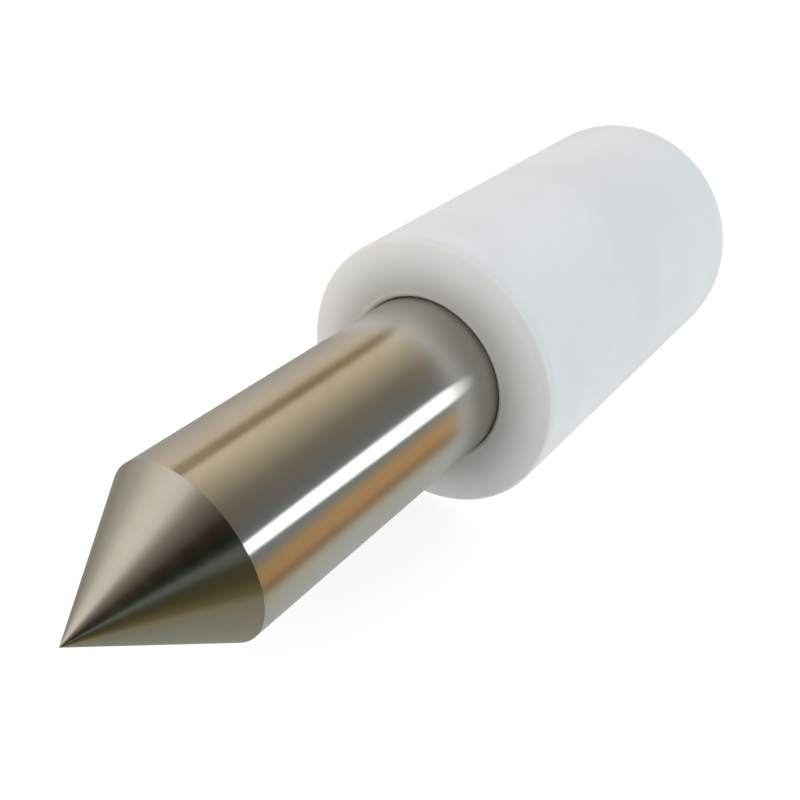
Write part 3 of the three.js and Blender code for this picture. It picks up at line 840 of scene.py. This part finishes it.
def crown_cage_mesh(cage, balls):
    """A snap-in cage about x = 0: round pockets whose horns close over the balls, and rounded valleys."""
    low, high, inner, outer = extents(cage)
    plane = centre(balls[0]).x
    low, high = low - plane, high - plane
    ring = [(low, inner), (low, outer), (high, outer), (high, inner)]
    body = turned_mesh("crown", ring, True, 288)
    half = CROWN_VALLEY_RADIUS
    past = high + OVERSHOOT
    bottom = CROWN_VALLEY + half
    turns = np.linspace(0, math.pi, 13)
    rounded = [(bottom - half * math.sin(t), half * math.cos(t)) for t in turns]
    valley = [(past, half)] + rounded + [(past, -half)]
    cutters = []
    for node in balls:
        spot = centre(node)
        pocket = ball_radius(node) + CROWN_POCKET_GAP
        cutters.append(sphere_mesh("pocket", pocket, 15, (0, spot.y, spot.z)))
        between = angle_of(spot) + math.pi / len(balls)
        cutters.append(prism_mesh(valley, inner - OVERSHOOT, outer + OVERSHOOT, between))
    return moulded(cut_mesh(body, cutters), CROWN_VOXEL)


def radial_bearings():
    """Two shielded bearings. Their cages are alike, so they share one mesh."""
    cage_mesh = crown_cage_mesh("front_bearing_cage", [f"front_bearing_ball_{i}" for i in range(1, 10)])
    for end in ("front", "rear"):
        ball = f"{end}_bearing_ball_1"
        cage = f"{end}_bearing_cage"
        turned_piece(f"{end}_bearing_outer_ring", RING_EDGE, flats=160, groove=ball)
        turned_piece(f"{end}_bearing_inner_ring", RING_EDGE, flats=160, groove=ball)
        pressed_shield(f"{end}_bearing_shield_back", 1)
        pressed_shield(f"{end}_bearing_shield_front", -1)
        piece = place(cage + "_moulded", cage_mesh, cage, MOULDED_SHARP_ANGLE, weighted=False)
        piece.location.x = centre(ball).x


def thrust_cage_section(low, high, inner, outer):
    """A thin web between two rims that are the full thickness."""
    web_low, web_high = low + THRUST_CAGE_DISH, high - THRUST_CAGE_DISH
    rim_in, rim_out = inner + THRUST_CAGE_RIM, outer - THRUST_CAGE_RIM
    web_in, web_out = rim_in + THRUST_CAGE_DISH, rim_out - THRUST_CAGE_DISH
    low_web = [(web_low, web_in), (web_low, web_out)]
    high_web = [(web_high, web_out), (web_high, web_in)]
    low_side = [(low, inner), (low, rim_in)] + low_web + [(low, rim_out), (low, outer)]
    high_side = [(high, outer), (high, rim_out)] + high_web + [(high, rim_in), (high, inner)]
    return low_side + high_side


def thrust_bearing():
    """Two grooved washers, and a pressed cage with a round pocket for each ball."""
    turned_piece("thrust_bearing_housing_washer", RING_EDGE, flats=160, groove="thrust_bearing_ball_1")
    turned_piece("thrust_bearing_shaft_washer", RING_EDGE, flats=160, groove="thrust_bearing_ball_1")
    cage = "thrust_bearing_cage"
    body = turned_mesh("thrust_cage", thrust_cage_section(*extents(cage)), True, 256)
    cutters = []
    for node in sorted(n for n in nodes if n.startswith("thrust_bearing_ball_")):
        spot = centre(node)
        size = ball_radius(node) + THRUST_POCKET_GAP
        low, high = spot.x - 3 * MM, spot.x + 3 * MM
        cutter = turned_mesh("pocket", [(low, 0), (low, size), (high, size), (high, 0)], False, 64)
        cutter.transform(Matrix.Translation((0, spot.y, spot.z)))
        cutters.append(cutter)
    mesh = moulded(cut_mesh(body, cutters), THRUST_CAGE_VOXEL)
    place(cage + "_pressed", mesh, cage, MOULDED_SHARP_ANGLE, weighted=False)


def shaft_circlip():
    """The ring is widest opposite its gap. Each lug has a hole for the pliers, and all edges are rounded."""
    low, high, inner, lug = extents("shaft_circlip")
    widest = max(math.hypot(v.co.y, v.co.z) for v in nodes["shaft_circlip"].data.vertices if v.co.y < 0)
    radius = (widest + CIRCLIP_NARROW) / 2
    offset = (widest - CIRCLIP_NARROW) / 2
    start, end = CIRCLIP_LUG
    top_end, foot = end - 3, end + 8

    def at(r, degrees):
        return r * math.cos(math.radians(degrees)), r * math.sin(math.radians(degrees))

    def band(degrees):
        """The ring's outer radius. Its outside is a circle about a point beyond the axis."""
        away = math.radians(degrees)
        return math.sqrt(radius ** 2 - (offset * math.sin(away)) ** 2) - offset * math.cos(away)

    bore = [at(inner, d) for d in np.linspace(360 - CIRCLIP_GAP, CIRCLIP_GAP, 97)]
    lug_side = [at(lug - 0.3 * MM, 8.2), at(lug - 0.08 * MM, 9.0)]
    lug_side += [at(lug, d) for d in np.linspace(start, top_end, 9)]
    for t in np.linspace(0.08, 0.92, 9):
        fall = (1 - math.cos(math.pi * t)) / 2
        lug_side.append(at(lug + (band(foot) - lug) * fall, top_end + (foot - top_end) * t))
    outside = [at(band(d), d) for d in np.linspace(foot, 360 - foot, 97)]
    other_lug = [(y, -z) for y, z in reversed(lug_side)]
    holes = []
    for degrees in ((start + end) / 2, -(start + end) / 2):
        y, z = at((inner + lug) / 2, degrees)
        holes.append([(y + CIRCLIP_LUG_HOLE * math.cos(t), z + CIRCLIP_LUG_HOLE * math.sin(t))
                      for t in np.linspace(0, TURN, 33)[:-1]])
    mesh = plate_mesh([bore + lug_side + outside + other_lug] + holes, high - low, CIRCLIP_EDGE)
    mesh.transform(Matrix.Translation(((low + high) / 2, 0, 0)))
    place("shaft_circlip_stamped", mesh, "shaft_circlip")


def wave_washer():
    """A flat strip ring whose x swings in and out as it goes round."""
    node = "preload_wave_washer"
    low, high, inner, outer = extents(node)
    half = WASHER_THICKNESS / 2
    swing = (high - low) / 2 - half
    crest = angle_of(max(nodes[node].data.vertices, key=lambda v: v.co.x).co)
    strip = eased([(-half, inner), (-half, outer), (half, outer), (half, inner)], WASHER_EDGE, True)

    def waved(x, r, angle):
        return (low + high) / 2 + x + swing * math.cos(WASHER_WAVES * (angle - crest)), r

    mesh = turned_mesh(node, divided(strip, True, coarse), True, 240, waved)
    place(node + "_formed", mesh, node)


def balls():
    """All the balls are the same size, so they share one mesh."""
    names = sorted(n for n in nodes if "_ball_" in n)
    mesh = sphere_mesh("bearing_ball", ball_radius(names[0]), 13)
    finish_mesh(mesh)
    mesh.materials.append(MATERIALS["ball_steel"])
    for node in names:
        obj = bpy.data.objects.new(node + "_lapped", mesh)
        scene.collection.objects.link(obj)
        obj.location = centre(node)
        stand_for(obj, node)


# ---------------------------------------------------------------- floor and lamp
def floor():
    mesh = bpy.data.meshes.new("floor")
    half = FLOOR_HALF
    corners = [(-half, -half, 0), (half, -half, 0), (half, half, 0), (-half, half, 0)]
    mesh.from_pydata(corners, [], [(0, 1, 2, 3)])
    obj = bpy.data.objects.new("floor", mesh)
    obj.location = (0, 0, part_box("housing")[0].z - FLOOR_GAP)
    scene.collection.objects.link(obj)
    obj.visible_glossy = False
    paint = bpy.data.materials.new("floor_white")
    paint.use_nodes = True
    bsdf = paint.node_tree.nodes["Principled BSDF"]
    bsdf.inputs["Base Color"].default_value = (0.3, 0.3, 0.3, 1)
    bsdf.inputs["Roughness"].default_value = 0.9
    bsdf.inputs["Specular IOR Level"].default_value = 0.0
    bsdf.inputs["Emission Color"].default_value = (1, 1, 1, 1)
    bsdf.inputs["Emission Strength"].default_value = 0.8
    mesh.materials.append(paint)


def lamp():
    """A large soft disk in front of the point and above it, which the steel doesn't mirror."""
    data = bpy.data.lights.new("overhead_softbox", "AREA")
    data.shape = "DISK"
    data.size = LAMP_WIDTH
    data.energy = LAMP_POWER
    data.color = (1.0, 0.985, 0.965)
    obj = bpy.data.objects.new("overhead_softbox", data)
    obj.location = LAMP_PLACE
    obj.rotation_euler = (Vector(LAMP_AIM) - obj.location).to_track_quat("-Z", "Y").to_euler()
    obj.visible_glossy = False
    scene.collection.objects.link(obj)


# ---------------------------------------------------------------- surroundings
# What the polished steel mirrors, by the angle round the spindle's axis in degrees: 0 is level on the
# right, 90 is straight up, 180 is level on the left and negative angles are below. The colours, on a
# scale of 255, were sampled from the steel in the photograph, and some were then moved.
ROOM_BEHIND = [
    (-165, (146, 141, 133)), (-140, (150, 146, 138)), (-100, (151, 153, 148)), (-60, (157, 158, 151)),
    (-48, (153, 147, 129)), (-40, (128, 108, 84)), (-34, (134, 102, 70)), (-28, (163, 130, 90)),
    (-12, (162, 130, 92)), (-6, (132, 124, 104)), (2, (112, 120, 121)), (26, (104, 110, 108)),
    (38, (98, 99, 95)), (60, (106, 100, 88)), (70, (117, 108, 94)), (92, (152, 143, 120)),
    (104, (170, 159, 134)), (120, (188, 172, 146)), (124, (122, 104, 72)), (136, (120, 102, 70)),
    (140, (176, 160, 137)), (155, (177, 165, 148)), (170, (166, 158, 147)),
]
ROOM_AHEAD = [
    (-165, (126, 122, 110)), (-120, (125, 126, 113)), (-85, (120, 121, 110)), (-57, (115, 113, 98)),
    (-42, (114, 107, 87)), (-32, (88, 78, 53)), (-15, (63, 57, 36)), (2, (58, 56, 42)),
    (10, (76, 80, 73)), (18, (78, 84, 78)), (25, (44, 50, 42)), (34, (20, 24, 16)), (46, (31, 26, 20)),
    (56, (45, 35, 30)), (73, (85, 77, 69)), (90, (116, 109, 98)), (100, (150, 143, 132)),
    (110, (186, 180, 168)), (125, (195, 189, 176)), (142, (191, 185, 171)), (154, (176, 173, 158)),
    (166, (158, 153, 140)),
]
ROOM_MEAN = (130, 124, 112)

# The bright window, from one angle to another. Its lower side drops, and its light fades, farther back.
WINDOW = (8, 22.5)
WINDOW_DROP = 35.0
WINDOW_FULL = -0.56
WINDOW_DIM = -0.74

# The share of light that the steel gives back
STEEL = 0.68


def linear(color):
    """A colour on a scale of 255, as linear light."""
    parts = [c / 255 for c in color]
    return tuple(c / 12.92 if c <= 10 / 255 else ((c + 0.055) / 1.055) ** 2.4 for c in parts)


def mirrored(color):
    """The light that the steel turns into this colour."""
    return tuple(c / STEEL for c in linear(color))


def band_ramp(tree, turn, bands):
    """A colour ramp over the whole turn, which starts and ends at 180 degrees with the same colour."""
    node = tree.add("ShaderNodeValToRGB")
    (first, first_color), (last, last_color) = bands[0], bands[-1]
    part = (180 - last) / (360 - last + first)
    seam = tuple(a + (b - a) * part for a, b in zip(mirrored(last_color), mirrored(first_color)))
    stops = [(0.0, seam)] + [((d + 180) / 360, mirrored(c)) for d, c in bands] + [(1.0, seam)]
    elements = node.color_ramp.elements
    while len(elements) < len(stops):
        elements.new(0.5)
    for element, (position, color) in zip(elements, stops):
        element.position = position
        element.color = (*color, 1)
    tree.link(turn, node.inputs[0])
    return node.outputs[0]


def surroundings():
    """White to the camera, soft light to the plastic, and a room of bands to anything that mirrors it."""
    world = bpy.data.worlds.new("surroundings")
    scene.world = world
    world.use_nodes = True
    world.cycles.sampling_method = "NONE"
    world.node_tree.nodes.clear()
    t = Tree(world.node_tree)
    coord = t.add("ShaderNodeTexCoord")
    split = t.add("ShaderNodeSeparateXYZ")
    t.link(coord.outputs["Generated"], split.inputs[0])
    x, y, z = split.outputs
    degrees = t.math("MULTIPLY", t.math("ARCTAN2", z, y), 180 / math.pi)
    turn = t.math("DIVIDE", t.math("ADD", degrees, 180.0), 360.0)
    room = t.mix(t.ramp(x, -0.46, -0.34), band_ramp(t, turn, ROOM_BEHIND), band_ramp(t, turn, ROOM_AHEAD))

    drop = t.math("MULTIPLY", t.math("SUBTRACT", WINDOW_FULL, x), WINDOW_DROP)
    lower_side = t.ramp(t.math("ADD", degrees, drop), WINDOW[0] - 1.0, WINDOW[0] + 1.5)
    upper_side = t.ramp(degrees, WINDOW[1] + 1.5, WINDOW[1] - 1.0)
    window = t.math("MULTIPLY", t.math("MULTIPLY", lower_side, upper_side), t.ramp(x, -0.36, -0.46))
    light = t.mix(t.ramp(x, WINDOW_DIM, WINDOW_FULL), (1.7, 1.77, 1.77), (2.6, 2.7, 2.7))
    room = t.mix(window, room, light)

    # Straight along the axis the angle has no meaning, so the bands fade out
    room = t.mix(t.ramp(t.math("ABSOLUTE", x), 0.80, 0.96), room, mirrored(ROOM_MEAN))

    # Warm from the left, cool from the right
    soft = t.mix(t.ramp(y, -0.6, 0.7), (1.035, 0.99, 0.975), (0.845, 0.965, 1.04))
    path = t.add("ShaderNodeLightPath")
    seen = t.mix(path.outputs["Is Glossy Ray"], soft, room)
    shown = t.mix(path.outputs["Is Camera Ray"], seen, (1, 1, 1))
    background = t.add("ShaderNodeBackground")
    t.link(shown, background.inputs[0])
    output = t.add("ShaderNodeOutputWorld")
    t.link(background.outputs[0], output.inputs[0])


def camera():
    data = bpy.data.cameras.new("camera")
    data.sensor_width = CAMERA_SENSOR
    data.lens = CAMERA_LENS
    data.shift_x, data.shift_y = CAMERA_SHIFT
    data.clip_start = 5 * MM
    obj = bpy.data.objects.new("camera", data)
    scene.collection.objects.link(obj)
    rear = Vector((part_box("housing")[0].x, 0, 0))
    look = Vector(CAMERA_LOOK).normalized()
    right = look.cross(Vector((0, 0, 1))).normalized()
    up = right.cross(look)
    turn = Matrix((right, up, -look)).transposed().to_4x4()
    obj.matrix_world = Matrix.Translation(rear + Vector(CAMERA_PLACE) * MM) @ turn
    scene.camera = obj


housing_and_spindle()
rear_plug()
radial_bearings()
thrust_bearing()
shaft_circlip()
wave_washer()
balls()

floor()
lamp()
surroundings()
camera()
scene.view_settings.view_transform = "Standard"
